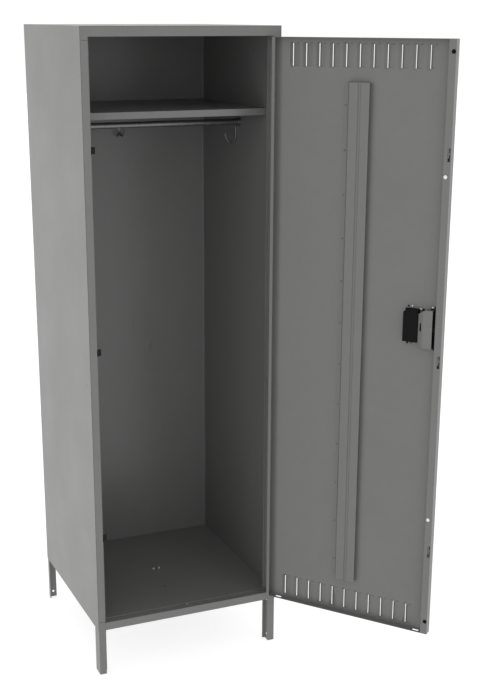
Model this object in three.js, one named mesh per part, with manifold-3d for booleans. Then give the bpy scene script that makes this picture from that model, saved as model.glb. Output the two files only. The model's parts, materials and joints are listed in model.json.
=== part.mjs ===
// Single-tier steel wardrobe locker on legs: welded front frame, sheet body, hat shelf, coat rod
// and hooks, and a louvered door with a lift handle that works a lock bar behind its closing edge.
// Millimetres, +Z up. The cabinet is drawn about its own centre line, standing on z = 0, with its
// front facing -Y and the hinges on the +X side. The door is drawn closed and then swung open.

import * as THREE from "three";
import { mergeVertices } from "three/addons/utils/BufferGeometryUtils.js";
import Module from "manifold-3d";

const wasm = await Module();
wasm.setup();

// Driving dimensions of the cabinet.
const INCH = 25.4;
const WIDTH = 24 * INCH;
const DEPTH = 24 * INCH;
const LEG_HEIGHT = 6 * INCH;
const HEIGHT = 72 * INCH + LEG_HEIGHT;
const GAP = 0.3;
const PANEL_SHEET = 0.9;
const FRAME_SHEET = 1.5;
const DOOR_SHEET = 1.5;

// The front frame: a face, a return into the opening and a strike lip that the door closes on.
const POST_FACE = 22.9;
const POST_SIDE_FLANGE = 45;
const LEG_SIDE_FLANGE = 42;
const HEADER_FACE = 27.5;
const HEADER_TAB = 9.5;
const HEADER_LIP = 12;
const SILL_FACE = 25.6;
const RETURN_DEPTH = 25.4;
const STRIKE_LIP = 8.9;
const LEG_TOP = LEG_HEIGHT + SILL_FACE + 3;
const SEAM = 0.8;
const LEG_HOLE_RADIUS = 4;
const LEG_HOLE_Z = 20;
const REAR_LEG_BACK = 26.5;
const REAR_LEG_SIDE = 17.7;
const REAR_LEG_TOP = 176;
const SILL_BOTTOM_FLANGE = 24;
const BACK_FLANGE = 6;
const BEND = 3.5;
const SILL_SCREW = [2, -283.6];
const SCREW_RADIUS = 1.6;
const SCREW_HOLE = 1.9;

// Shelf, floor, rod and hooks.
const FLOOR_TOP = 181;
const FLOOR_EDGE = 18;
const PAN_BOLTS = [-9, 10.5];
const PAN_BOLT_Y = 8.3;
const SHELF_TOP = 68.5 * INCH;
const SHELF_FRONT = -8 * INCH;
const SHELF_LIP = 20;
const SHELF_HEM = 9;
const ROD_RADIUS = 9.5;
const ROD_Y = -2.5;
const ROD_Z = 1686;
const ROD_WALL = 1.2;
const ROD_FLANGE_RADIUS = 14;
const HOOK_Z = 1637;
const SIDE_HOOK_Y = 17;
const HOOK_PLATE = 2.5;

// The door, drawn closed. It sits inside the frame's opening, flush with the frame's face.
const DOOR_OPEN_ANGLE = THREE.MathUtils.degToRad(127.5);
const DOOR_HINGE_EDGE = 279.4;
const DOOR_WIDTH = 558.3;
const DOOR_BOTTOM = 180.9;
const DOOR_TOP = 1950.6;
const DOOR_DEPTH = 23.5;
const LATCH_LIP = 21;
const HINGE_LIP = 10;
const DOOR_CENTRE = 10.5;
const DRAIN_INSET = 40;
const DRAIN_LENGTH = 20;
const DRAIN_WIDTH = 9;

// Louvers, in one row near the top of the door and one near its bottom.
const LOUVER_COUNT = 11;
const LOUVER_PITCH = 42;
const LOUVER_HEIGHT = 66;
const LOUVER_REACH = { hinge: 10.5, latch: 20 };
const LOUVER_RISE = 4;
const LOUVER_SHEET = 1.2;
const WELD = 0.2;
const LOUVER_ROWS = [192.5, 1868.5];

// Stiffener on the back of the door.
const STIFFENER_BOTTOM = 294.6;
const STIFFENER_TOP = 1828.8;
const STIFFENER_SHEET = 1;
const STIFFENER_CROWN = [-28, 35.5];
const STIFFENER_WALL = 8;
const STIFFENER_UNDERCUT = 5;
const STIFFENER_FOOT = 12;
const STIFFENER_DEPTH = 15;
const STIFFENER_GROOVE = 3;

// Hinges: three five-knuckle butts with their pins just in front of the frame.
const HINGE_X = 283.1;
const HINGE_Y = -308.3;
const HINGE_LENGTH = 52;
const HINGE_LEAF_DEPTH = 20;
const KNUCKLE_RADIUS = 3.2;
const PIN_RADIUS = 1.7;
const PIN_CLEARANCE = 0.05;
const HINGES = { top: 1853, middle: 1072, bottom: 283 };

// Latch: frame jaws, the slots they enter in the door's lip, and the bar that catches them.
const LATCHES = { top: 1642, middle: 1050, bottom: 456 };
const SLOT_X = -272.6;
const SLOT_WIDTH = 7.6;
const SLOT_HEIGHT = 36.8;
const JAW_X = -275.6;
const JAW_SHEET = 1.8;
const JAW_HALF_HEIGHT = 10;
const JAW_TIP_Y = -292.4;
const BAR_X = [-267, -257];
const BAR_Y = [-296, -293.4];
const CATCH_X = [-272.6, -259];
const CATCH_INSET = 9;
const CATCH_SHEET = 1.5;
const ARM_Y = [-293.1, -291.1];
const ARM_Z = [1136, 1146];
const LATCH_TRAVEL = 12;
const GUIDES = { upper: 1581.7, lower: 558.8 };
const GUIDE_X = -265.8;
const GUIDE_HEAD = 5.4;
const GUIDE_BLOCK_X = [-271.5, -258.5];
const BUMPERS = { top: 1917.2, bottom: 223.3 };
const BUMPER_X = -272.2;
const BUMPER_RADIUS = 6;
const BUMPER_STEM = 2;
const BUMPER_HEIGHT = 1.6;

// Handle cup and the cover beside it.
const CUP_X = [-202, -157.5];
const CUP_Z = [1100, 1196.5];
const CUP_DEPTH = 19.5;
const CUP_WALL = 1.6;
const CUP_RIM = 5;
const CUP_CHAMFER = 9;
const COVER_X = [-248.5, -220];
const COVER_STEP = 6.5;
const COVER_END_INSET = 4;
const COVER_SLOT_X = [-214.5, -209];
const COVER_Z = [1086.5, 1199];
const COVER_SHEET = 1.2;
const COVER_CORNER = 14;

// The part's origin is on the floor under the middle of its bounding box, door open.
const ORIGIN_SHIFT = [-159, 233, 0];

const halfWidth = WIDTH / 2;
const halfDepth = DEPTH / 2;
const front = -halfDepth;
const panelInside = halfWidth - PANEL_SHEET - GAP;
const openingHalf = halfWidth - POST_FACE;
const headerTop = HEIGHT - PANEL_SHEET - GAP;
const headerBottom = headerTop - HEADER_FACE;
const sillTop = LEG_HEIGHT + SILL_FACE;
const strikeFace = front + RETURN_DEPTH;
const doorLatchEdge = DOOR_HINGE_EDGE - DOOR_WIDTH;
const doorInside = front + DOOR_DEPTH;
const skinInside = front + DOOR_SHEET;
const armPathY = [ARM_Y[0] - GAP, ARM_Y[1] + GAP];
const armPathZ = [ARM_Z[0] - 1, ARM_Z[1] + LATCH_TRAVEL + 1];

// Finishes.
const paint = (color) => new THREE.MeshStandardMaterial({ color, roughness: 0.5, metalness: 0.1 });
const bodyPaint = paint(0x8d8c88);
const framePaint = paint(0x83827f);
const steel = new THREE.MeshStandardMaterial({ color: 0xa8a9aa, roughness: 0.35, metalness: 0.9 });
const darkSteel = new THREE.MeshStandardMaterial({ color: 0x3a3a3b, roughness: 0.45, metalness: 0.8 });
const blackPlastic = new THREE.MeshStandardMaterial({ color: 0x161616, roughness: 0.55, metalness: 0 });
const whiteNylon = new THREE.MeshStandardMaterial({ color: 0xe9e8e2, roughness: 0.4, metalness: 0 });
const rubber = new THREE.MeshStandardMaterial({ color: 0x121212, roughness: 0.85, metalness: 0 });

// A closed three.js geometry as a manifold-3d solid.
function solid(geometry) {
  const bare = geometry.clone();
  bare.deleteAttribute("normal");
  bare.deleteAttribute("uv");
  const merged = mergeVertices(bare, 1e-4);
  const vertProperties = new Float32Array(merged.attributes.position.array);
  const triVerts = new Uint32Array(merged.index.array);
  return new wasm.Manifold(new wasm.Mesh({ numProp: 3, vertProperties, triVerts }));
}

// A box between two corners, each range given as [low, high].
function box(x, y, z) {
  const geometry = new THREE.BoxGeometry(x[1] - x[0], y[1] - y[0], z[1] - z[0]);
  geometry.translate((x[0] + x[1]) / 2, (y[0] + y[1]) / 2, (z[0] + z[1]) / 2);
  return solid(geometry);
}

// An outline pushed along an axis. Its points are (x, y) along z, (y, z) along x, (x, z) along y.
function prism(outline, axis, range) {
  const shape = new THREE.Shape(outline.map(([u, v]) => new THREE.Vector2(u, v)));
  const depth = range[1] - range[0];
  const geometry = new THREE.ExtrudeGeometry(shape, { depth, bevelEnabled: false });
  const place = new THREE.Matrix4();
  if (axis === "z") place.makeTranslation(0, 0, range[0]);
  if (axis === "x") place.set(0, 0, 1, range[0], 1, 0, 0, 0, 0, 1, 0, 0, 0, 0, 0, 1);
  if (axis === "y") place.set(1, 0, 0, 0, 0, 0, -1, range[1], 0, 1, 0, 0, 0, 0, 0, 1);
  return solid(geometry.applyMatrix4(place));
}

// A round bar along an axis; centre gives the other two coordinates in x, y, z order.
function bar(axis, centre, range, radius, sides = 24) {
  const geometry = new THREE.CylinderGeometry(radius, radius, range[1] - range[0], sides);
  const middle = (range[0] + range[1]) / 2;
  if (axis === "x") geometry.rotateZ(Math.PI / 2).translate(middle, centre[0], centre[1]);
  if (axis === "y") geometry.translate(centre[0], middle, centre[1]);
  if (axis === "z") geometry.rotateX(Math.PI / 2).translate(centre[0], centre[1], middle);
  return solid(geometry);
}

// The outline of a folded sheet: a line of bends, thickened to the left of its direction.
function folded(bends, thickness) {
  const points = bends.map(([u, v]) => new THREE.Vector2(u, v));
  const normals = points.slice(1).map((point, i) => {
    const along = point.clone().sub(points[i]).normalize();
    return new THREE.Vector2(-along.y, along.x);
  });
  const inner = points.map((point, i) => {
    const before = normals[Math.max(i - 1, 0)];
    const after = normals[Math.min(i, normals.length - 1)];
    const mitre = before.clone().add(after).normalize();
    return point.clone().addScaledVector(mitre, thickness / mitre.dot(after));
  });
  return [...points, ...inner.reverse()].map((point) => [point.x, point.y]);
}

// A round or flat section swept along a smooth line through the given points.
function sweep(section, points, steps = 24) {
  const extrudePath = new THREE.CatmullRomCurve3(points.map((p) => new THREE.Vector3(...p)));
  return solid(new THREE.ExtrudeGeometry(section, { steps, extrudePath, bevelEnabled: false }));
}

function circle(radius, sides = 10) {
  const turns = Array.from({ length: sides }, (_, i) => (i / sides) * 2 * Math.PI);
  return new THREE.Shape(turns.map((a) => new THREE.Vector2(radius * Math.cos(a), radius * Math.sin(a))));
}

// A named mesh from a solid.
function piece(name, body, material) {
  const { vertProperties, triVerts } = body.getMesh();
  const indexed = new THREE.BufferGeometry();
  indexed.setAttribute("position", new THREE.BufferAttribute(vertProperties, 3));
  indexed.setIndex(new THREE.BufferAttribute(triVerts, 1));
  const geometry = indexed.toNonIndexed();
  geometry.computeVertexNormals();
  const mesh = new THREE.Mesh(geometry, material);
  mesh.name = name;
  return mesh;
}

const mirrored = (body, side) => (side < 0 ? body : body.mirror([1, 0, 0]));
const ascending = (a, b) => a - b;
const SIDES = { left: -1, right: 1 };

// Front frame -------------------------------------------------------------------------------

// The upright's section on the left side: side flange, face, return and strike lip.
function uprightSection(sideFlange) {
  return folded(
    [
      [-panelInside, front + sideFlange],
      [-panelInside, front],
      [-openingHalf, front],
      [-openingHalf, strikeFace],
      [-openingHalf + STRIKE_LIP, strikeFace],
    ],
    FRAME_SHEET,
  );
}

function framePost() {
  return prism(uprightSection(POST_SIDE_FLANGE), "z", [LEG_TOP + SEAM, headerBottom - HEADER_TAB - SEAM]);
}

// The latch-side post's strike lip is notched so that the jaws can reach through it.
function latchPost() {
  const notchX = [JAW_X - 2 * GAP, -openingHalf + STRIKE_LIP + 1];
  const notchY = [strikeFace - 1, strikeFace + FRAME_SHEET + GAP / 2];
  return Object.values(LATCHES).reduce((body, z) => {
    return body.subtract(box(notchX, notchY, [z - JAW_HALF_HEIGHT - GAP, z + JAW_HALF_HEIGHT + GAP]));
  }, framePost());
}

function frontLeg() {
  const leg = prism(uprightSection(LEG_SIDE_FLANGE), "z", [0, LEG_TOP]);
  const web = [-openingHalf - 3, -openingHalf + 1];
  return [LEG_HOLE_Z, LEG_HEIGHT - 6].reduce((body, z) => {
    return body.subtract(bar("x", [front + RETURN_DEPTH / 2, z], web, LEG_HOLE_RADIUS, 16));
  }, leg);
}

// Top rail: top flange, face, and a return that turns back up, with the start of each upright.
function frameHeader() {
  const section = folded(
    [
      [front + POST_SIDE_FLANGE, headerTop],
      [front, headerTop],
      [front, headerBottom],
      [strikeFace, headerBottom],
      [strikeFace, headerBottom + HEADER_LIP],
    ],
    FRAME_SHEET,
  );
  const tab = prism(uprightSection(POST_SIDE_FLANGE), "z", [headerBottom - HEADER_TAB, headerBottom + 1]);
  return prism(section, "x", [-panelInside, panelInside]).add(tab).add(mirrored(tab, SIDES.right));
}

// Bottom rail between the legs: return, face and bottom flange, with a screw hole in the return.
function frameSill() {
  const section = folded(
    [
      [strikeFace - GAP, sillTop],
      [front, sillTop],
      [front, LEG_HEIGHT],
      [front + SILL_BOTTOM_FLANGE, LEG_HEIGHT],
    ],
    FRAME_SHEET,
  );
  const rail = prism(section, "x", [-openingHalf + GAP, openingHalf - GAP]);
  return rail.subtract(bar("z", SILL_SCREW, [sillTop - 5, sillTop + 5], SCREW_HOLE, 12));
}

// Pan-head screw down into the sill's return.
function sillScrew() {
  const head = bar("z", SILL_SCREW, [sillTop + GAP, sillTop + GAP + 1.6], 3.2, 16);
  return head.add(bar("z", SILL_SCREW, [sillTop - 7, sillTop + 1], SCREW_RADIUS, 12));
}

// Sheet body --------------------------------------------------------------------------------

function rearLeg() {
  const back = halfDepth - PANEL_SHEET - GAP;
  const section = folded(
    [
      [-panelInside + REAR_LEG_BACK, back],
      [-panelInside, back],
      [-panelInside, back - REAR_LEG_SIDE],
    ],
    FRAME_SHEET,
  );
  const holeX = -panelInside + REAR_LEG_BACK / 2 + 1;
  const hole = bar("y", [holeX, LEG_HOLE_Z], [back - 5, back + 5], LEG_HOLE_RADIUS, 16);
  return prism(section, "z", [0, REAR_LEG_TOP]).subtract(hole);
}

function sidePanel() {
  return box([-halfWidth, -halfWidth + PANEL_SHEET], [front, halfDepth], [LEG_HEIGHT, HEIGHT]);
}

// The back is turned forward along both sides, with a small bend radius, over the legs' tops.
function backPanel() {
  const bend = (side) => [0, 1, 2, 3].map((i) => {
    const angle = (i / 3) * (Math.PI / 2);
    const x = panelInside - BEND + BEND * Math.cos(angle);
    return [side * x, halfDepth - BEND + BEND * Math.sin(angle)];
  });
  const section = folded(
    [
      [panelInside, halfDepth - BACK_FLANGE],
      ...bend(1),
      ...bend(-1).reverse(),
      [-panelInside, halfDepth - BACK_FLANGE],
    ],
    PANEL_SHEET,
  );
  const panel = prism(section, "z", [LEG_HEIGHT, headerTop]);
  const y = [halfDepth - BACK_FLANGE - 1, halfDepth - PANEL_SHEET];
  const z = [LEG_HEIGHT - 1, REAR_LEG_TOP + GAP];
  const corner = panelInside - REAR_LEG_BACK - GAP;
  return panel.subtract(box([corner, halfWidth], y, z)).subtract(box([-halfWidth, -corner], y, z));
}

function topPanel() {
  return box([-panelInside, panelInside], [front, halfDepth], [HEIGHT - PANEL_SHEET, HEIGHT]);
}

// Takes the rear corners off a level sheet, so that it clears the back's side flanges.
function clearOfBack(sheet, z) {
  const x = [panelInside - BEND - GAP, halfWidth];
  const corner = box(x, [halfDepth - BACK_FLANGE - GAP, halfDepth], [z[0] - 5, z[1] + 5]);
  return sheet.subtract(corner).subtract(mirrored(corner, SIDES.right));
}

// A level sheet with its edges turned down, clear of what stands in the corners.
function floorPan() {
  const rear = halfDepth - PANEL_SHEET - GAP;
  const frontEdge = strikeFace + FRAME_SHEET + 2 * GAP;
  const edge = [FLOOR_TOP - FLOOR_EDGE, FLOOR_TOP];
  const turned = panelInside - 45;
  const frontTurned = panelInside - FRAME_SHEET - 2 * GAP;
  let pan = box([-panelInside, panelInside], [frontEdge, rear], [FLOOR_TOP - PANEL_SHEET, FLOOR_TOP]);
  pan = pan.add(box([-turned, turned], [rear - PANEL_SHEET, rear], edge));
  pan = pan.add(box([-frontTurned, frontTurned], [frontEdge, frontEdge + PANEL_SHEET], edge));
  for (const side of [-1, 1]) {
    const flange = [panelInside - PANEL_SHEET, panelInside].map((value) => value * side);
    const corner = [panelInside - FRAME_SHEET - GAP, halfWidth].map((value) => value * side);
    const cornerY = [frontEdge - 5, front + POST_SIDE_FLANGE + GAP];
    pan = pan.add(box(flange.sort(ascending), [-turned, turned], edge));
    pan = pan.subtract(box(corner.sort(ascending), cornerY, [edge[0] - 5, edge[1] + 5]));
  }
  return PAN_BOLTS.reduce((body, x) => {
    return body.subtract(bar("z", [x, PAN_BOLT_Y], [FLOOR_TOP - 5, FLOOR_TOP + 5], SCREW_HOLE, 12));
  }, clearOfBack(pan, edge));
}

// Round-headed bolt standing in the floor pan, with its nut below.
function panBolt(x) {
  const head = bar("z", [x, PAN_BOLT_Y], [FLOOR_TOP + GAP, FLOOR_TOP + GAP + 2], 5, 20);
  const shank = bar("z", [x, PAN_BOLT_Y], [FLOOR_TOP - 9, FLOOR_TOP + 1], SCREW_RADIUS, 12);
  const nut = bar("z", [x, PAN_BOLT_Y], [FLOOR_TOP - 6.5, FLOOR_TOP - PANEL_SHEET - GAP], 4.8, 6);
  return head.add(shank).add(nut);
}

// Shelf for hats: a tray turned down on all four sides, with a hem under its front lip.
function hatShelf() {
  const rear = halfDepth - PANEL_SHEET - GAP;
  const section = folded(
    [
      [rear, SHELF_TOP - SHELF_LIP],
      [rear, SHELF_TOP],
      [SHELF_FRONT, SHELF_TOP],
      [SHELF_FRONT, SHELF_TOP - SHELF_LIP],
      [SHELF_FRONT + SHELF_HEM, SHELF_TOP - SHELF_LIP],
    ],
    PANEL_SHEET,
  );
  const shelf = prism(section, "x", [-panelInside, panelInside]);
  const edgeY = [SHELF_FRONT + PANEL_SHEET / 2, rear - PANEL_SHEET / 2];
  const edgeZ = [SHELF_TOP - SHELF_LIP + 2, SHELF_TOP - PANEL_SHEET / 2];
  const tray = [-panelInside, panelInside - PANEL_SHEET].reduce((body, x) => {
    return body.add(box([x, x + PANEL_SHEET], edgeY, edgeZ));
  }, shelf);
  return clearOfBack(tray, [SHELF_TOP - SHELF_LIP, SHELF_TOP]);
}

// Coat rod and hooks ------------------------------------------------------------------------

function coatRod() {
  const reach = panelInside - FRAME_SHEET - GAP;
  const tube = bar("x", [ROD_Y, ROD_Z], [-reach, reach], ROD_RADIUS);
  return tube.subtract(bar("x", [ROD_Y, ROD_Z], [-halfWidth, halfWidth], ROD_RADIUS - ROD_WALL));
}

// A round socket on the side wall that the rod's end sits in.
function rodFlange() {
  const plate = bar("x", [ROD_Y, ROD_Z], [-panelInside, -panelInside + FRAME_SHEET], ROD_FLANGE_RADIUS);
  const collar = bar("x", [ROD_Y, ROD_Z], [-panelInside, -panelInside + 7], ROD_RADIUS + 1.8);
  const socket = [-panelInside + FRAME_SHEET, 0];
  return plate.add(collar).subtract(bar("x", [ROD_Y, ROD_Z], socket, ROD_RADIUS + GAP));
}

// A hook on the side wall: a screw plate and one prong that curls up into the locker.
function sideHook() {
  const inward = (distance, z) => [-panelInside + distance, SIDE_HOOK_Y, HOOK_Z + z];
  const width = [SIDE_HOOK_Y - 6, SIDE_HOOK_Y + 6];
  const plate = box([-panelInside, -panelInside + HOOK_PLATE], width, [HOOK_Z - 3, HOOK_Z + 34]);
  const prong = [
    inward(4.4, 32),
    inward(4.4, 12),
    inward(4.6, -2),
    inward(11.5, -14),
    inward(25, -16.5),
    inward(36, -7),
    inward(42.5, 12),
  ];
  return plate.add(sweep(circle(2.6), prong, 36));
}

// The hook on the back wall: a screw plate and two prongs that spread sideways.
function backHook() {
  const wall = halfDepth - PANEL_SHEET - GAP;
  const plate = box([-5, 5], [wall - HOOK_PLATE, wall], [HOOK_Z - 3, HOOK_Z + 38]);
  return [-1, 1].reduce((body, side) => {
    const prong = [
      [side * 1.2, wall - 3, HOOK_Z + 5],
      [side * 3, wall - 5, HOOK_Z - 6],
      [side * 7.5, wall - 12, HOOK_Z - 12],
      [side * 12.5, wall - 18, HOOK_Z - 5],
      [side * 14.5, wall - 20, HOOK_Z + 9],
    ];
    return body.add(sweep(circle(2.3), prong));
  }, plate);
}

// Frame jaws and hinges ---------------------------------------------------------------------

// A bent plate behind the strike lip whose notched tongue reaches forward into the door's slot.
function frameJaw(z) {
  const back = strikeFace + FRAME_SHEET + GAP;
  const bottom = z - JAW_HALF_HEIGHT;
  const top = z + JAW_HALF_HEIGHT;
  const tongue = prism(
    [
      [back + JAW_SHEET, bottom],
      [back + JAW_SHEET, top],
      [JAW_TIP_Y + 9, top],
      [JAW_TIP_Y + 9, z],
      [JAW_TIP_Y + 4, z],
      [JAW_TIP_Y + 4, z + 6],
      [JAW_TIP_Y, z],
      [JAW_TIP_Y, z - 6],
      [JAW_TIP_Y + 6, bottom],
    ],
    "x",
    [JAW_X, JAW_X + JAW_SHEET],
  );
  return tongue.add(box([JAW_X - 5, JAW_X + 14], [back, back + JAW_SHEET], [bottom, top]));
}

// One leaf with its share of the five knuckles, bored for the pin.
function hingeLeaf(z, leafX, knuckles) {
  const knuckle = HINGE_LENGTH / 5;
  const bottom = z - HINGE_LENGTH / 2;
  const leafY = [HINGE_Y + KNUCKLE_RADIUS + 0.6, HINGE_Y + KNUCKLE_RADIUS + HINGE_LEAF_DEPTH];
  let leaf = box(leafX, leafY, [bottom, bottom + HINGE_LENGTH]);
  for (const index of knuckles) {
    const range = [bottom + index * knuckle + GAP / 2, bottom + (index + 1) * knuckle - GAP / 2];
    leaf = leaf.add(bar("z", [HINGE_X, HINGE_Y], range, KNUCKLE_RADIUS));
    leaf = leaf.add(box(leafX, [HINGE_Y, leafY[1]], range));
  }
  const bore = [bottom - 5, bottom + HINGE_LENGTH + 5];
  return leaf.subtract(bar("z", [HINGE_X, HINGE_Y], bore, PIN_RADIUS + PIN_CLEARANCE));
}

function hingePin(z) {
  const half = HINGE_LENGTH / 2;
  const shank = bar("z", [HINGE_X, HINGE_Y], [z - half, z + half + 1], PIN_RADIUS);
  return shank.add(bar("z", [HINGE_X, HINGE_Y], [z + half + 0.3, z + half + 2], KNUCKLE_RADIUS - 0.4));
}

// Door --------------------------------------------------------------------------------------

// Half of a louver: a hood that ramps off the skin and is open along the louver's slit. The half
// on the hinge side ramps into the locker, and the other half ramps out of it.
function louverHood(x, z, side) {
  const reach = side > 0 ? LOUVER_REACH.hinge : LOUVER_REACH.latch;
  const middle = front + DOOR_SHEET / 2;
  const half = side * (DOOR_SHEET / 2);
  const rise = side * LOUVER_RISE;
  const edge = x + side * reach;
  const slope = (rise - half) / reach;
  const hood = prism(
    [
      [edge + side * WELD, middle - half],
      [x, middle - half],
      [x, middle + rise],
      [edge, middle + half],
      [edge + side * WELD, middle + half],
    ],
    "z",
    [z - WELD, z + LOUVER_HEIGHT + WELD],
  );
  const hollow = prism(
    [
      [edge, middle - half],
      [edge, middle - half - side],
      [x - side, middle - half - side],
      [x - side, middle + rise - 2 * half + slope],
    ],
    "z",
    [z + LOUVER_SHEET, z + LOUVER_HEIGHT - LOUVER_SHEET],
  );
  return hood.subtract(hollow);
}

function withLouvers(panel) {
  let body = panel;
  for (const z of LOUVER_ROWS) {
    for (let i = 0; i < LOUVER_COUNT; i += 1) {
      const x = DOOR_CENTRE + (i - (LOUVER_COUNT - 1) / 2) * LOUVER_PITCH;
      const window = [x - LOUVER_REACH.latch, x + LOUVER_REACH.hinge];
      body = body.subtract(box(window, [front - 5, skinInside + 5], [z, z + LOUVER_HEIGHT]));
      body = body.add(louverHood(x, z, 1)).add(louverHood(x, z, -1));
    }
  }
  return body;
}

// The door's sheet: skin, four flanges and a lip behind each upright edge, with its cut-outs.
function doorPanel() {
  const x = [doorLatchEdge, DOOR_HINGE_EDGE];
  const z = [DOOR_BOTTOM, DOOR_TOP];
  const deep = [front, doorInside];
  const lipY = [doorInside - DOOR_SHEET, doorInside];
  let panel = box(x, [front, skinInside], z);
  panel = panel.add(box([DOOR_HINGE_EDGE - DOOR_SHEET, DOOR_HINGE_EDGE], deep, z));
  panel = panel.add(box([doorLatchEdge, doorLatchEdge + DOOR_SHEET], deep, z));
  panel = panel.add(box(x, deep, [DOOR_BOTTOM, DOOR_BOTTOM + DOOR_SHEET]));
  panel = panel.add(box(x, deep, [DOOR_TOP - DOOR_SHEET, DOOR_TOP]));
  panel = panel.add(box([doorLatchEdge, doorLatchEdge + LATCH_LIP], lipY, z));
  panel = panel.add(box([DOOR_HINGE_EDGE - HINGE_LIP, DOOR_HINGE_EDGE], lipY, z));
  panel = withLouvers(panel);

  const through = [doorInside - 5, doorInside + 5];
  for (const level of Object.values(LATCHES)) {
    const slot = [SLOT_X - SLOT_WIDTH / 2, SLOT_X + SLOT_WIDTH / 2];
    panel = panel.subtract(box(slot, through, [level - SLOT_HEIGHT / 2, level + SLOT_HEIGHT / 2]));
  }
  for (const level of Object.values(GUIDES)) {
    panel = panel.subtract(bar("y", [GUIDE_X, level], through, GUIDE_HEAD + GAP));
  }
  for (const level of Object.values(BUMPERS)) {
    panel = panel.subtract(bar("y", [BUMPER_X, level], through, BUMPER_STEM + GAP, 16));
  }
  const below = [DOOR_BOTTOM - 5, DOOR_BOTTOM + 5];
  for (const middle of [doorLatchEdge + DRAIN_INSET, DOOR_HINGE_EDGE - DRAIN_INSET]) {
    const drain = [middle - DRAIN_LENGTH / 2, middle + DRAIN_LENGTH / 2];
    panel = panel.subtract(box(drain, [front + 7, front + 7 + DRAIN_WIDTH], below));
  }
  const cupX = [CUP_X[0] - GAP, CUP_X[1] + GAP];
  return panel.subtract(box(cupX, [front - 5, skinInside + 5], [CUP_Z[0] - GAP, CUP_Z[1] + GAP]));
}

// Hat-section stiffener with a groove pressed down its middle. Its hinge side slopes out to a foot,
// and its latch side is undercut, with the foot turned in beneath the crown.
function doorStiffener() {
  const skin = skinInside + GAP;
  const crown = skin + STIFFENER_DEPTH;
  const groove = crown - STIFFENER_GROOVE;
  const [left, right] = STIFFENER_CROWN;
  const centre = (left + right) / 2;
  const hingeFoot = right + STIFFENER_WALL;
  const latchFoot = left + STIFFENER_UNDERCUT;
  const section = folded(
    [
      [hingeFoot + STIFFENER_FOOT, skin + STIFFENER_SHEET],
      [hingeFoot, skin + STIFFENER_SHEET],
      [right, crown],
      [centre + 5, crown],
      [centre + 3, groove],
      [centre - 3, groove],
      [centre - 5, crown],
      [left, crown],
      [latchFoot, skin],
      [latchFoot + STIFFENER_FOOT, skin],
    ],
    STIFFENER_SHEET,
  );
  return prism(section, "z", [STIFFENER_BOTTOM, STIFFENER_TOP]);
}

// Rubber button on the door's lip, with its stem and barb through the lip.
function bumper(z) {
  const lipBack = doorInside - DOOR_SHEET;
  const head = bar("y", [BUMPER_X, z], [doorInside + GAP, doorInside + BUMPER_HEIGHT], BUMPER_RADIUS);
  const stem = bar("y", [BUMPER_X, z], [lipBack - 3, doorInside + 1], BUMPER_STEM, 16);
  return head.add(stem);
}

// Nylon block behind the lip that the lock bar slides through; its round head shows in the lip.
function barGuide(z) {
  const lipBack = doorInside - DOOR_SHEET;
  const block = box(GUIDE_BLOCK_X, [BAR_Y[0] - 3, lipBack - GAP], [z - 11, z + 11]);
  const head = bar("y", [GUIDE_X, z], [lipBack - 1, doorInside + 0.6], GUIDE_HEAD);
  const channel = box([BAR_X[0] - GAP, BAR_X[1] + GAP], [BAR_Y[0] - GAP, BAR_Y[1] + GAP], [z - 20, z + 20]);
  return block.add(head).subtract(channel);
}

// Recessed cup for the finger lift, open at the door's face, with a rim around its mouth.
function handleCup() {
  const [x0, x1] = CUP_X;
  const [z0, z1] = CUP_Z;
  const back = skinInside + CUP_DEPTH;
  const outline = [
    [x0, z0],
    [x1, z0],
    [x1, z1 - CUP_CHAMFER],
    [x1 - CUP_CHAMFER, z1],
    [x0, z1],
  ];
  const rimX = [x0 - CUP_RIM, x1 + CUP_RIM];
  const rim = box(rimX, [front - GAP - CUP_WALL, front - GAP], [z0 - CUP_RIM, z1 + CUP_RIM]);
  const shell = prism(outline, "y", [front - GAP - 1, back]).add(rim);
  const inside = [
    [x0 + CUP_WALL, z0 + CUP_WALL],
    [x1 - CUP_WALL, z0 + CUP_WALL],
    [x1 - CUP_WALL, z1 - CUP_CHAMFER - 1],
    [x1 - CUP_CHAMFER - 1, z1 - CUP_WALL],
    [x0 + CUP_WALL, z1 - CUP_WALL],
  ];
  const armSlot = box([x0 - 1, x0 + CUP_WALL + 1], armPathY, armPathZ);
  return shell.subtract(prism(inside, "y", [front - 10, back - CUP_WALL])).subtract(armSlot);
}

// Cover beside the cup, over the arm: a face that slopes down to the cup, and two end walls.
function latchCover() {
  const [x0, x1] = COVER_X;
  const [z0, z1] = COVER_Z;
  const cupSide = CUP_X[0] - 4 * GAP;
  const face = doorInside - GAP - COVER_SHEET;
  const section = folded(
    [
      [x0, face],
      [x1, face],
      [cupSide, face - COVER_STEP],
    ],
    COVER_SHEET,
  );
  const bottom = skinInside + GAP;
  const slope = COVER_STEP / (cupSide - x1);
  const endX = cupSide - COVER_END_INSET;
  const endOutline = [
    [x0, bottom],
    [endX, bottom],
    [endX, face - slope * (endX - x1) + COVER_SHEET / 2],
    [x1, face + COVER_SHEET / 2],
    [x0, face + COVER_SHEET / 2],
  ];
  const ends = [z0, z1 - COVER_SHEET].map((z) => prism(endOutline, "z", [z, z + COVER_SHEET]));
  const cornerOutline = [
    [x1 - COVER_CORNER / 2, z1 + 1],
    [cupSide + 1, z1 - COVER_CORNER],
    [cupSide + 1, z1 + 1],
  ];
  const corner = prism(cornerOutline, "y", [skinInside, doorInside + 5]);
  const armSlot = box(COVER_SLOT_X, [face - COVER_STEP - 5, doorInside], armPathZ);
  return prism(section, "z", COVER_Z).add(ends[0]).add(ends[1]).subtract(corner).subtract(armSlot);
}

// Latch -------------------------------------------------------------------------------------

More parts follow.
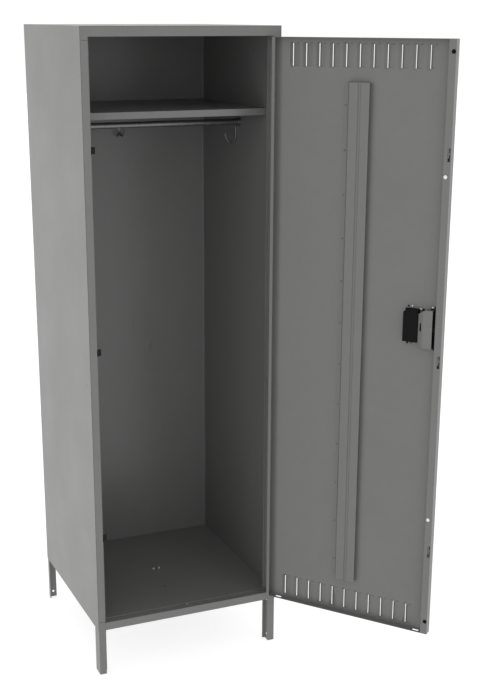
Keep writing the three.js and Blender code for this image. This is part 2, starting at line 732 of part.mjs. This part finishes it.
// Flat bar behind the lip with a finger and a catch plate at each jaw. The finger rests in the
// jaw's notch, and the plate fills the slot beside the jaw.
function lockBar() {
  const ends = [LATCHES.bottom - 22, LATCHES.top + 30];
  const lipBack = doorInside - DOOR_SHEET;
  const plateY = [lipBack - GAP - CATCH_SHEET, lipBack - GAP];
  return Object.values(LATCHES).reduce((body, level) => {
    const plateZ = [level - SLOT_HEIGHT / 2 + CATCH_INSET, level + SLOT_HEIGHT / 2];
    const fingerZ = [level + 0.6, level + 5.6];
    const finger = box([JAW_X - 0.6, BAR_X[0] + 4], [JAW_TIP_Y + 4.6, JAW_TIP_Y + 8.4], fingerZ);
    const plate = box(CATCH_X, plateY, plateZ);
    const shank = box([BAR_X[0], BAR_X[0] + 4], [BAR_Y[0], plateY[1]], plateZ);
    return body.add(finger).add(plate).add(shank);
  }, box(BAR_X, BAR_Y, ends));
}

// Arm from the lock bar through the cover and the cup's wall to the finger lift.
function liftArm() {
  return box([BAR_X[0] + 1, CUP_X[0] + 14], ARM_Y, ARM_Z);
}

// Finger lift in the cup: fingers go up behind its front lip and raise it.
function fingerLift() {
  const z = ARM_Z[0] - 5;
  const y = front + CUP_WALL;
  const outline = [
    [y, z - 5],
    [y + 2.5, z - 5],
    [y + 2.5, z + 12],
    [y + 6, z + 16],
    [y + 6, z],
    [y + 14, z],
    [y + 14, z + 20],
    [y, z + 20],
  ];
  const lift = prism(outline, "x", [CUP_X[0] + CUP_WALL + 2, CUP_X[1] - CUP_WALL - 2]);
  const socketY = [ARM_Y[0] - GAP, ARM_Y[1] + GAP];
  const socketZ = [ARM_Z[0] - GAP, ARM_Z[1] + GAP];
  return lift.subtract(box([CUP_X[0], CUP_X[0] + 14 + GAP], socketY, socketZ));
}

// Assembly ----------------------------------------------------------------------------------

const cabinet = new THREE.Group();
const door = new THREE.Group();
const frameLeaf = [DOOR_HINGE_EDGE + 1.4, DOOR_HINGE_EDGE + 2.2];
const doorLeaf = [DOOR_HINGE_EDGE + GAP, DOOR_HINGE_EDGE + 1.1];

for (const [name, side] of Object.entries(SIDES)) {
  cabinet.add(piece(`front_leg_${name}`, mirrored(frontLeg(), side), framePaint));
  cabinet.add(piece(`rear_leg_${name}`, mirrored(rearLeg(), side), framePaint));
  cabinet.add(piece(`side_panel_${name}`, mirrored(sidePanel(), side), bodyPaint));
  cabinet.add(piece(`rod_flange_${name}`, mirrored(rodFlange(), side), steel));
  cabinet.add(piece(`side_hook_${name}`, mirrored(sideHook(), side), steel));
}
cabinet.add(piece("frame_post_left", latchPost(), framePaint));
cabinet.add(piece("frame_post_right", mirrored(framePost(), SIDES.right), framePaint));
cabinet.add(piece("frame_header", frameHeader(), framePaint));
cabinet.add(piece("frame_sill", frameSill(), framePaint));
cabinet.add(piece("back_panel", backPanel(), bodyPaint));
cabinet.add(piece("top_panel", topPanel(), bodyPaint));
cabinet.add(piece("floor_pan", floorPan(), bodyPaint));
cabinet.add(piece("hat_shelf", hatShelf(), bodyPaint));
cabinet.add(piece("coat_rod", coatRod(), steel));
cabinet.add(piece("back_hook", backHook(), steel));
cabinet.add(piece("sill_screw", sillScrew(), steel));
cabinet.add(piece("pan_bolt_left", panBolt(PAN_BOLTS[0]), steel));
cabinet.add(piece("pan_bolt_right", panBolt(PAN_BOLTS[1]), steel));
for (const [name, z] of Object.entries(LATCHES)) {
  cabinet.add(piece(`frame_jaw_${name}`, frameJaw(z), darkSteel));
}
for (const [name, z] of Object.entries(HINGES)) {
  cabinet.add(piece(`hinge_frame_leaf_${name}`, hingeLeaf(z, frameLeaf, [0, 2, 4]), framePaint));
  cabinet.add(piece(`hinge_pin_${name}`, hingePin(z), steel));
  door.add(piece(`hinge_door_leaf_${name}`, hingeLeaf(z, doorLeaf, [1, 3]), framePaint));
}

door.add(piece("door_panel", doorPanel(), framePaint));
door.add(piece("door_stiffener", doorStiffener(), framePaint));
door.add(piece("handle_cup", handleCup(), blackPlastic));
door.add(piece("latch_cover", latchCover(), framePaint));
for (const [name, z] of Object.entries(BUMPERS)) {
  door.add(piece(`bumper_${name}`, bumper(z), rubber));
}
for (const [name, z] of Object.entries(GUIDES)) {
  door.add(piece(`bar_guide_${name}`, barGuide(z), whiteNylon));
}
door.add(piece("lock_bar", lockBar(), framePaint));
door.add(piece("lift_arm", liftArm(), steel));
door.add(piece("finger_lift", fingerLift(), blackPlastic));

// Swing the door open about its pins, then stand the whole part on its own origin.
const pivot = new THREE.Matrix4().makeTranslation(HINGE_X, HINGE_Y, 0);
const swing = pivot.clone().multiply(new THREE.Matrix4().makeRotationZ(DOOR_OPEN_ANGLE));
door.applyMatrix4(swing.multiply(pivot.clone().invert()));

const locker = new THREE.Group();
locker.name = "locker_cabinet";
locker.add(cabinet, door);
locker.position.set(...ORIGIN_SHIFT);
locker.updateMatrixWorld(true);

export default locker;
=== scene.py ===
"""Looks of the steel wardrobe locker: studio, procedural finishes, and the small hardware."""
import json
import math

import bmesh
import bpy
from mathutils import Matrix, Vector


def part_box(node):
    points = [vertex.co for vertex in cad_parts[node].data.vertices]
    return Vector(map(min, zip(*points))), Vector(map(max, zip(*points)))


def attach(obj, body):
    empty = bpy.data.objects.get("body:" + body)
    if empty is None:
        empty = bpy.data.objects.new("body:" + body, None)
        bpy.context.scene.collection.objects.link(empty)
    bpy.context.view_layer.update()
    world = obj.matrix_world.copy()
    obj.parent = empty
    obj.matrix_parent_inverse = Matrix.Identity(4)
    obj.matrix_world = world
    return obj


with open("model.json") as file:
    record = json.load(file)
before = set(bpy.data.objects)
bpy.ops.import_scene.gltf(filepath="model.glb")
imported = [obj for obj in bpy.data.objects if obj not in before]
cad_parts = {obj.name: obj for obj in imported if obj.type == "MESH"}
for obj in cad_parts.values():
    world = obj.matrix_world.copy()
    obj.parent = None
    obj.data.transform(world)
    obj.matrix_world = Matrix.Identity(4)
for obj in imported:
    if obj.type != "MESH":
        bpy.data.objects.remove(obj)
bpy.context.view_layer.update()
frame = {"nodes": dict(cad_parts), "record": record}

NODES = frame["nodes"]
MM = 0.001
DOOR_SHEET = 1.5 * MM
HOOK_PLATE = 2.5 * MM

# The camera: millimetres of lens, shifts, degrees, and metres from the locker's centre line.
LENS = 64.35
SHIFT = (0.0133, 0.0645)
YAW, PITCH, ROLL = -23.2768, -16.9077, 0.1124
CAMERA_LEFT, CAMERA_AHEAD, CAMERA_HEIGHT = 1.3221, 3.7324, 2.0105

# Louvers in each row, the distance between them, and from a slit to the painted shadow beside it.
LOUVER_COUNT = 11
LOUVER_PITCH = 42 * MM
LOUVER_SHADOW_OFFSET = 15.5 * MM
DOOR_OFF_CENTRE = 10.25 * MM


# Places in the frame ------------------------------------------------------------------------

def corners(node):
    """Lowest and highest corners of a node, as stored."""
    low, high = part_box(node)
    return Vector(low), Vector(high)


left_low, left_high = corners("side_panel_left")
right_low, right_high = corners("side_panel_right")
CENTRE_X = (left_low.x + right_high.x) / 2
CENTRE_Y = (left_low.y + left_high.y) / 2
FRONT_Y = left_low.y
TOP_Z = left_high.z
BODY_Z = left_low.z

hinge = next(j for j in frame["record"]["behaviour"]["joints"] if j["name"] == "door_hinge")
HINGE = Vector(hinge["pos_m"])
REST_ANGLE = -math.radians(hinge["range_deg"][0])
# Takes a place on the closed door to where it is with the door open, as stored.
SWING = Matrix.Translation(HINGE) @ Matrix.Rotation(REST_ANGLE, 4, "Z") @ Matrix.Translation(-HINGE)


def closed_box(node):
    """Lowest and highest corners of a door node, with the door closed."""
    unswing = SWING.inverted()
    points = [unswing @ v.co for v in NODES[node].data.vertices]
    low = Vector(min(p[i] for p in points) for i in range(3))
    high = Vector(max(p[i] for p in points) for i in range(3))
    return low, high


# Camera and studio --------------------------------------------------------------------------

def look_from(place, target, roll=0.0):
    """Stands at place with -Z towards target, with an optional roll."""
    rotation = (Vector(target) - Vector(place)).to_track_quat("-Z", "Y").to_matrix().to_4x4()
    return Matrix.Translation(place) @ rotation @ Matrix.Rotation(roll, 4, "Z")


def make_camera():
    """The photographer's view: a little above the locker and to its left."""
    data = bpy.data.cameras.new("camera")
    camera = bpy.data.objects.new("camera", data)
    bpy.context.collection.objects.link(camera)
    data.sensor_width = 36.0
    data.lens = LENS
    data.shift_x, data.shift_y = SHIFT
    place = Vector((CENTRE_X - CAMERA_LEFT, CENTRE_Y - CAMERA_AHEAD, CAMERA_HEIGHT))
    yaw, pitch = math.radians(YAW), math.radians(PITCH)
    level = math.cos(pitch)
    forward = Vector((-math.sin(yaw) * level, math.cos(yaw) * level, math.sin(pitch)))
    camera.matrix_world = look_from(place, place + forward, math.radians(ROLL))
    bpy.context.scene.camera = camera


def area_light(name, place, target, size, power):
    """A rectangular soft light at place, aimed at target."""
    data = bpy.data.lights.new(name, "AREA")
    data.shape = "RECTANGLE"
    data.size, data.size_y = size
    data.energy = power
    light = bpy.data.objects.new(name, data)
    bpy.context.collection.objects.link(light)
    light.matrix_world = look_from(place, target)


def make_floor():
    """A wide pale floor that glows a little, so that no hard shadow falls on it."""
    bm = bmesh.new()
    bmesh.ops.create_grid(bm, x_segments=1, y_segments=1, size=30)
    mesh = bpy.data.meshes.new("floor")
    bm.to_mesh(mesh)
    bm.free()
    floor = bpy.data.objects.new("floor", mesh)
    bpy.context.collection.objects.link(floor)
    material = bpy.data.materials.new("floor")
    material.use_nodes = True
    shader = material.node_tree.nodes["Principled BSDF"]
    shader.inputs["Base Color"].default_value = (0.35, 0.35, 0.35, 1)
    shader.inputs["Roughness"].default_value = 0.9
    shader.inputs["Emission Color"].default_value = (1, 1, 1, 1)
    shader.inputs["Emission Strength"].default_value = 0.78
    mesh.materials.append(material)


def make_studio():
    """A white room all around, with one large soft light in front."""
    scene = bpy.context.scene
    scene.view_settings.view_transform = "Standard"
    world = bpy.data.worlds.new("studio")
    scene.world = world
    world.use_nodes = True
    background = world.node_tree.nodes["Background"]
    background.inputs["Color"].default_value = (1, 0.998, 0.993, 1)
    background.inputs["Strength"].default_value = 1.02
    make_floor()
    middle = Vector((CENTRE_X, CENTRE_Y, 1.0))
    area_light("key", middle + Vector((-1.6, -4.2, 1.4)), middle, (2.2, 2.2), 10)


# Procedural finishes ------------------------------------------------------------------------

class Finish:
    """A node material under construction: the shader, and short ways to add nodes."""

    def __init__(self, name):
        self.material = bpy.data.materials.new(name)
        self.material.use_nodes = True
        self.tree = self.material.node_tree
        self.shader = self.tree.nodes["Principled BSDF"]
        self.place = self.node("ShaderNodeTexCoord").outputs["Object"]

    def node(self, kind, **settings):
        node = self.tree.nodes.new(kind)
        for key, value in settings.items():
            setattr(node, key, value)
        return node

    def link(self, source, target):
        self.tree.links.new(source, target)

    def feed(self, socket, value):
        """Puts a number, a colour or another node's output into a socket."""
        if isinstance(value, (int, float)):
            socket.default_value = value
        elif isinstance(value, tuple):
            socket.default_value = (*value, 1)
        else:
            self.link(value, socket)

    def noise(self, scale, detail=4.0, roughness=0.55, stretch=None):
        """Noise from 0 to 1, with scale features to the metre, which stretch can draw out."""
        vector = self.place
        if stretch:
            mapping = self.node("ShaderNodeMapping")
            mapping.inputs["Scale"].default_value = stretch
            self.link(self.place, mapping.inputs["Vector"])
            vector = mapping.outputs["Vector"]
        noise = self.node("ShaderNodeTexNoise")
        noise.inputs["Scale"].default_value = scale
        noise.inputs["Detail"].default_value = detail
        noise.inputs["Roughness"].default_value = roughness
        self.link(vector, noise.inputs["Vector"])
        return noise.outputs["Fac"]

    def ramp(self, source, low, high, at=(0.3, 0.7)):
        """A value that runs from low to high as the source crosses the given span."""
        ramp = self.node("ShaderNodeMapRange")
        ramp.inputs["From Min"].default_value, ramp.inputs["From Max"].default_value = at
        ramp.inputs["To Min"].default_value = low
        ramp.inputs["To Max"].default_value = high
        self.link(source, ramp.inputs["Value"])
        return ramp.outputs["Result"]

    def mix(self, factor, first, second):
        """The first colour where the factor is 0, the second where it is 1."""
        mix = self.node("ShaderNodeMix", data_type="RGBA")
        self.link(factor, mix.inputs["Factor"])
        self.feed(mix.inputs["A"], first)
        self.feed(mix.inputs["B"], second)
        return mix.outputs["Result"]

    def math(self, operation, *values):
        node = self.node("ShaderNodeMath", operation=operation)
        for socket, value in zip(node.inputs, values):
            self.feed(socket, value)
        return node.outputs["Value"]

    def edges(self, radius):
        """About 1 along sharp edges and 0 on flat faces, and keeps the rounded normal."""
        bevel = self.node("ShaderNodeBevel", samples=4)
        bevel.inputs["Radius"].default_value = radius
        geometry = self.node("ShaderNodeNewGeometry")
        dot = self.node("ShaderNodeVectorMath", operation="DOT_PRODUCT")
        self.link(bevel.outputs["Normal"], dot.inputs[0])
        self.link(geometry.outputs["Normal"], dot.inputs[1])
        self.rounded = bevel.outputs["Normal"]
        return self.ramp(dot.outputs["Value"], 1.0, 0.0, (0.72, 0.99))

    def weld_marks(self, y, z, pitch, radius):
        """1 inside each round mark of an upright row at that y, the first at height z."""
        axes = self.node("ShaderNodeSeparateXYZ")
        self.link(self.place, axes.inputs["Vector"])
        across = self.math("SUBTRACT", axes.outputs["Y"], y)
        along = self.math("PINGPONG", self.math("SUBTRACT", axes.outputs["Z"], z), pitch / 2)
        squares = self.math("ADD", self.math("POWER", across, 2.0), self.math("POWER", along, 2.0))
        return self.ramp(self.math("SQRT", squares), 1.0, 0.0, (0.6 * radius, radius))

    def bump(self, height, strength, distance, normal=None):
        """A normal that follows a height, on top of another normal if one is given."""
        bump = self.node("ShaderNodeBump")
        bump.inputs["Strength"].default_value = strength
        bump.inputs["Distance"].default_value = distance
        self.link(height, bump.inputs["Height"])
        if normal is not None:
            self.link(normal, bump.inputs["Normal"])
        return bump.outputs["Normal"]

    def set(self, **sockets):
        """Fills the shader's sockets; _ stands for a space in a socket's name."""
        for key, value in sockets.items():
            self.feed(self.shader.inputs[key.replace("_", " ")], value)
        return self.material


def scaled(shade, factor):
    """A shade made darker or lighter."""
    return tuple(min(1.0, c * factor) for c in shade)


def baked_enamel(name, shade, gloss=(0.29, 0.37), welds=None):
    """Grey baked enamel on sheet: orange peel, faint mottling and speckle, and edges lightened in
    patches, partly rubbed wear and partly painted highlight.
    """
    finish = Finish(name)
    mottling = finish.noise(5.0, detail=6)
    cloud = finish.noise(38.0, detail=3)
    tone = finish.math("ADD", finish.ramp(mottling, 0.0, 0.65), finish.ramp(cloud, 0.0, 0.35))
    body = finish.mix(tone, scaled(shade, 0.95), scaled(shade, 1.05))

    speckle = finish.ramp(finish.noise(520.0, detail=1), 0.0, 0.05, (0.5, 0.8))
    body = finish.mix(speckle, body, scaled(shade, 1.4))

    # Edges lighter in patches: partly rubbed wear, partly a painted highlight for light caught by the
    # rounded bends.
    edge = finish.edges(1.1 * MM)
    rubbed_and_highlit_patches = finish.ramp(finish.noise(260.0, detail=5), 0.0, 0.5, (0.42, 0.66))
    body = finish.mix(finish.math("MULTIPLY", edge, rubbed_and_highlit_patches), body, scaled(shade, 1.7))

    scuffs = finish.noise(26.0, detail=8, roughness=0.7, stretch=(1, 1, 0.12))
    dulled = finish.ramp(scuffs, 0.0, 0.02, (0.3, 0.9))
    roughness = finish.math("ADD", finish.ramp(mottling, *gloss), dulled)
    normal = finish.bump(finish.noise(420.0, detail=1), 0.16, 0.04 * MM, finish.rounded)
    normal = finish.bump(finish.noise(9.0, detail=1), 0.10, 0.6 * MM, normal)
    if welds:
        mark = finish.weld_marks(*welds)
        body = finish.mix(mark, body, scaled(shade, 0.3))
        normal = finish.bump(finish.math("SUBTRACT", 1.0, mark), 0.8, 0.5 * MM, normal)
    return finish.set(
        Base_Color=body, Roughness=roughness, Normal=normal, Specular_IOR_Level=0.5, IOR=1.5
    )


def zinc_plate(name, shade, roughness, grain=(1, 1, 0.06)):
    """Plated steel: soft rolling grain, patchy sheen and darker dulled patches."""
    finish = Finish(name)
    patches = finish.noise(60.0, detail=5)
    streaks = finish.noise(700.0, detail=3, stretch=grain)
    body = finish.mix(finish.ramp(patches, 0.0, 1.0), scaled(shade, 0.72), shade)
    edge = finish.math("MULTIPLY", finish.edges(0.5 * MM), 0.5)
    body = finish.mix(edge, body, scaled(shade, 1.3))
    sheen = finish.math("ADD", finish.ramp(patches, *roughness), finish.ramp(streaks, -0.04, 0.04))
    normal = finish.bump(streaks, 0.12, 0.05 * MM, finish.rounded)
    return finish.set(Base_Color=body, Roughness=sheen, Metallic=1.0, Normal=normal)


def moulded(name, shade, roughness, grain, depth, rubbed=1.6, **sockets):
    """Moulded plastic or rubber: fine grain, cloudy sheen and paler rubbed edges."""
    finish = Finish(name)
    cloud = finish.noise(45.0, detail=4)
    body = finish.mix(finish.ramp(cloud, 0.0, 1.0), scaled(shade, 0.85), shade)
    edge = finish.math("MULTIPLY", finish.edges(0.6 * MM), 0.35)
    body = finish.mix(edge, body, scaled(shade, rubbed))
    sheen = finish.ramp(cloud, roughness - 0.06, roughness + 0.06)
    normal = finish.bump(finish.noise(grain, detail=2), 0.35, depth, finish.rounded)
    return finish.set(Base_Color=body, Roughness=sheen, Normal=normal, **sockets)


def make_finishes():
    grey = (0.140, 0.140, 0.138)
    black = (0.0045, 0.0045, 0.0048)
    return {
        "body_paint": baked_enamel("body_enamel", grey, gloss=(0.27, 0.33)),
        "frame_paint": baked_enamel("frame_enamel", grey),
        "door_paint": baked_enamel("door_enamel", scaled(grey, 0.97)),
        "zinc_steel": zinc_plate("zinc_plate", (0.22, 0.22, 0.225), (0.32, 0.48)),
        "dark_steel": zinc_plate("dark_phosphate", (0.025, 0.025, 0.027), (0.42, 0.56)),
        "black_plastic": moulded(
            "black_plastic", black, 0.6, 1500.0, 0.05 * MM, 2.2, Specular_IOR_Level=0.1
        ),
        "white_nylon": moulded(
            "white_nylon", (0.80, 0.80, 0.77), 0.38, 1200.0, 0.03 * MM, 1.1, Subsurface_Weight=0.2
        ),
        "black_rubber": moulded(
            "black_rubber", black, 0.8, 900.0, 0.08 * MM, 1.8, Specular_IOR_Level=0.1
        ),
    }


def weld_row():
    """Where the side panels are welded to the front frame: y, first height, pitch and radius."""
    pitch = (TOP_Z - BODY_Z) * 0.1228
    return FRONT_Y + 32 * MM, BODY_Z + 123 * MM, pitch, 3.2 * MM


make_camera()
make_studio()
FINISHES = make_finishes()
# The side panels carry a slightly darker copy of the body's grey, painted shade that tones down the
# lit left side, and the weld marks.
side_enamel_shaded = baked_enamel("side_enamel_shaded", (0.135, 0.135, 0.133), welds=weld_row())
bright_zinc = zinc_plate("bright_zinc", (0.92, 0.92, 0.93), (0.30, 0.42))
FASTENERS = ("pan_bolt_left", "pan_bolt_right", "sill_screw")


def dress_nodes():
    """Gives every CAD node its slot's finish and a small rounding along its sharp edges."""
    slots = {s["node"]: s["material_slot"] for s in frame["record"]["subparts"]}
    for name, node in NODES.items():
        node.data.materials.clear()
        finish = FINISHES[slots[name]]
        if name.startswith("side_panel"):
            finish = side_enamel_shaded
        elif name in FASTENERS:
            finish = bright_zinc
        node.data.materials.append(finish)
        weld = node.modifiers.new("weld", "WELD")
        weld.merge_threshold = 0.002 * MM
        bevel = node.modifiers.new("rounding", "BEVEL")
        bevel.width = 0.3 * MM
        bevel.segments = 2
        bevel.limit_method = "ANGLE"
        bevel.angle_limit = math.radians(50)


dress_nodes()


# Pieces -------------------------------------------------------------------------------------

def add_piece(name, bm, slot, body, where=Matrix.Identity(4)):
    """Makes an object from a bmesh that is moved by where, riding on a body with a slot's finish."""
    bmesh.ops.transform(bm, matrix=where, verts=bm.verts)
    bmesh.ops.recalc_face_normals(bm, faces=bm.faces)
    mesh = bpy.data.meshes.new(name)
    bm.to_mesh(mesh)
    bm.free()
    piece = bpy.data.objects.new(name, mesh)
    bpy.context.collection.objects.link(piece)
    mesh.materials.append(bright_zinc if slot == "zinc_steel" else FINISHES[slot])
    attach(piece, body)
    return piece


def facing(place, direction):
    """Stands a piece that was made on z = 0 at a place, with its +Z along a direction."""
    turn = Vector(direction).to_track_quat("Z", "Y").to_matrix().to_4x4()
    return Matrix.Translation(place) @ turn


def rings_to_mesh(bm, rings):
    """Skins rings of points, closing each ring on itself and both ends with a fan."""
    loops = [[bm.verts.new(point) for point in ring] for ring in rings]
    for below, above in zip(loops, loops[1:]):
        for i in range(len(below)):
            j = (i + 1) % len(below)
            bm.faces.new((below[i], below[j], above[j], above[i])).smooth = True
    for ring in (loops[0], loops[-1]):
        centre = bm.verts.new(sum((v.co for v in ring), Vector()) / len(ring))
        for i in range(len(ring)):
            bm.faces.new((ring[i], ring[(i + 1) % len(ring)], centre)).smooth = True
    return bm


def screw_head(radius, height, turns=48):
    """Domed head with a cross recess, standing on z = 0."""
    def level(reach, angle):
        dome = height * math.sqrt(1 - 0.85 * (reach / radius) ** 2)
        across = min(abs(math.sin(angle)), abs(math.cos(angle))) * reach
        recessed = across < 0.13 * radius and reach < 0.6 * radius
        return dome - (0.5 * height if recessed else 0.0)

    rings = [[(radius * math.cos(a), radius * math.sin(a), 0.0) for a in turn_angles(turns)]]
    for step in range(12, 0, -1):
        reach = radius * step / 12
        rings.append([
            (reach * math.cos(a), reach * math.sin(a), level(reach, a)) for a in turn_angles(turns)
        ])
    return rings_to_mesh(bmesh.new(), rings)


def turn_angles(turns):
    return [2 * math.pi * i / turns for i in range(turns)]


def hex_nut(radius, height):
    """Chamfered nut with the end of its screw standing out of it."""
    hexagon = turn_angles(6)
    rings = [
        [(radius * k * math.cos(a), radius * k * math.sin(a), z) for a in hexagon]
        for k, z in ((0.9, 0.0), (1.0, 0.12 * height), (1.0, 0.88 * height), (0.88, height))
    ]
    bm = rings_to_mesh(bmesh.new(), rings)
    thread = [
        [(0.5 * radius * k * math.cos(a), 0.5 * radius * k * math.sin(a), z) for a in turn_angles(16)]
        for k, z in ((1.0, 0.1 * height), (1.0, 1.35 * height), (0.8, 1.5 * height))
    ]
    return rings_to_mesh(bm, thread)


# Small hardware -----------------------------------------------------------------------------

def on_skin(x, z):
    """Stands a piece on the inside of the door's skin, at a place given with the door closed."""
    return SWING @ facing(Vector((x, FRONT_Y + DOOR_SHEET, z)), (0, 1, 0))


def handle_screws():
    """Screws and a nut that hold the handle cup and the latch cover."""
    cup_low, cup_high = closed_box("handle_cup")
    cover_low, cover_high = closed_box("latch_cover")
    rows = (
        ("top", cup_high.z + 1.2 * MM, ("dark_steel", "zinc_steel")),
        ("bottom", cup_low.z - 2.8 * MM, ("dark_steel", "door_paint")),
    )
    for row, z, slots in rows:
        for name, inset, slot in zip(("first", "second"), (14, 25.5), slots):
            place = on_skin(cup_high.x - inset * MM, z)
            head = screw_head(2.9 * MM, 2.2 * MM)
            add_piece(f"cup_screw_{row}_{name}", head, slot, "door", place)
    nut = on_skin(cover_high.x - 10.5 * MM, cover_high.z - 3 * MM)
    add_piece("cover_nut", hex_nut(3.6 * MM, 2.8 * MM), "dark_steel", "door", nut)
    pin = on_skin(cover_high.x - 1.5 * MM, cover_high.z - 2.5 * MM)
    add_piece("cover_pin", screw_head(2.6 * MM, 1.8 * MM), "zinc_steel", "door", pin)
    # Each screw's name, millimetres from the cover's far edge and above its top, and finish.
    cover_screws = (
        ("upper", 8, 5.5, "zinc_steel"),
        ("upper_edge", 0, 6.5, "dark_steel"),
        ("lower_edge", 0, -118, "dark_steel"),
    )
    for name, inset, rise, slot in cover_screws:
        place = on_skin(cover_low.x + inset * MM, cover_high.z + rise * MM)
        add_piece(f"cover_screw_{name}", screw_head(3.1 * MM, 2.2 * MM), slot, "door", place)


def latch_shade_liner():
    """Black plastic lining behind the gap between the latch cover and the door's lip: a guessed latch
    part, and a dark sheet that paints the gap's shade.
    """
    cover_low, cover_high = closed_box("latch_cover")
    x = (cover_low.x - 8 * MM, cover_low.x + 12 * MM)
    y = (FRONT_Y + DOOR_SHEET + 0.3 * MM, FRONT_Y + DOOR_SHEET + 9 * MM)
    z = (cover_low.z - 3 * MM, cover_high.z + 2 * MM)
    cut_corner = ((x[1], y[1] - 3 * MM), (x[1] - 4 * MM, y[1]))
    section = [(x[0], y[0]), (x[1], y[0]), *cut_corner, (x[0], y[1])]
    bm = bmesh.new()
    rings_to_mesh(bm, [[(u, v, level) for u, v in section] for level in z])
    for face in bm.faces:
        face.smooth = False
    add_piece("latch_shade_liner", bm, "black_plastic", "door", SWING)


def louver_painted_shadows():
    """Painted shadows: dark flat marks at the upper end of each louver, beside its slit, standing in
    for the shade of its pressed corner.
    """
    low, high = closed_box("door_panel")
    middle = (low.x + high.x) / 2 + DOOR_OFF_CENTRE
    first = middle - LOUVER_PITCH * (LOUVER_COUNT - 1) / 2 - LOUVER_SHADOW_OFFSET
    skin = FRONT_Y + DOOR_SHEET
    for row, top in (("lower", low.z + 77.6 * MM), ("upper", high.z - 16.1 * MM)):
        bm = bmesh.new()
        for i in range(LOUVER_COUNT):
            centre = Vector((first + i * LOUVER_PITCH, skin, top))
            rings_to_mesh(bm, [
                [
                    centre + Vector((3.4 * k * math.cos(a), rise, 1.7 * k * math.sin(a))) * MM
                    for a in turn_angles(20)
                ]
                for k, rise in ((1.0, -0.3), (1.0, 0.06), (0.6, -0.05))
            ])
        add_piece(f"louver_painted_shadows_{row}", bm, "dark_steel", "door", SWING)


def hook_screws():
    """Two screws in the plate of the hook on the back wall."""
    low, high = corners("back_hook")
    for name, drop in (("upper", 7), ("lower", 24)):
        centre = Vector(((low.x + high.x) / 2, high.y - HOOK_PLATE, high.z - drop * MM))
        head = screw_head(2.7 * MM, 1.6 * MM)
        add_piece(f"back_hook_screw_{name}", head, "zinc_steel", "cabinet", facing(centre, (0, -1, 0)))


def bolt_domes():
    """Domed heads on the floor pan's bolts, and a low one on the sill's screw under the door."""
    sizes = (("pan_bolt_left", 4.6, 2.2), ("pan_bolt_right", 4.6, 2.2), ("sill_screw", 3.0, 0.6))
    for node, radius, height in sizes:
        low, high = corners(node)
        top = Vector(((low.x + high.x) / 2, (low.y + high.y) / 2, high.z))
        dome = screw_head(radius * MM, height * MM)
        add_piece(f"{node}_dome", dome, "zinc_steel", "cabinet", Matrix.Translation(top))


def spot_welds():
    """Shallow spot welds that hold the stiffener's open foot to the door's skin."""
    low, high = closed_box("door_stiffener")
    foot_y = FRONT_Y + DOOR_SHEET + 1.3 * MM
    count = 12
    x = high.x - 6 * MM
    bm = bmesh.new()
    for i in range(count):
        centre = Vector((x, foot_y, low.z + (high.z - low.z) * (i + 0.5) / count))
        rings_to_mesh(bm, [
            [
                centre + Vector((radius * math.cos(a), rise, radius * math.sin(a))) * MM
                for a in turn_angles(20)
            ]
            for radius, rise in ((2.6, -0.1), (2.4, 0.03), (1.9, 0.05), (1.4, 0.01))
        ])
    add_piece("spot_welds", bm, "door_paint", "door", SWING)


handle_screws()
latch_shade_liner()
louver_painted_shadows()
hook_screws()
bolt_domes()
spot_welds()
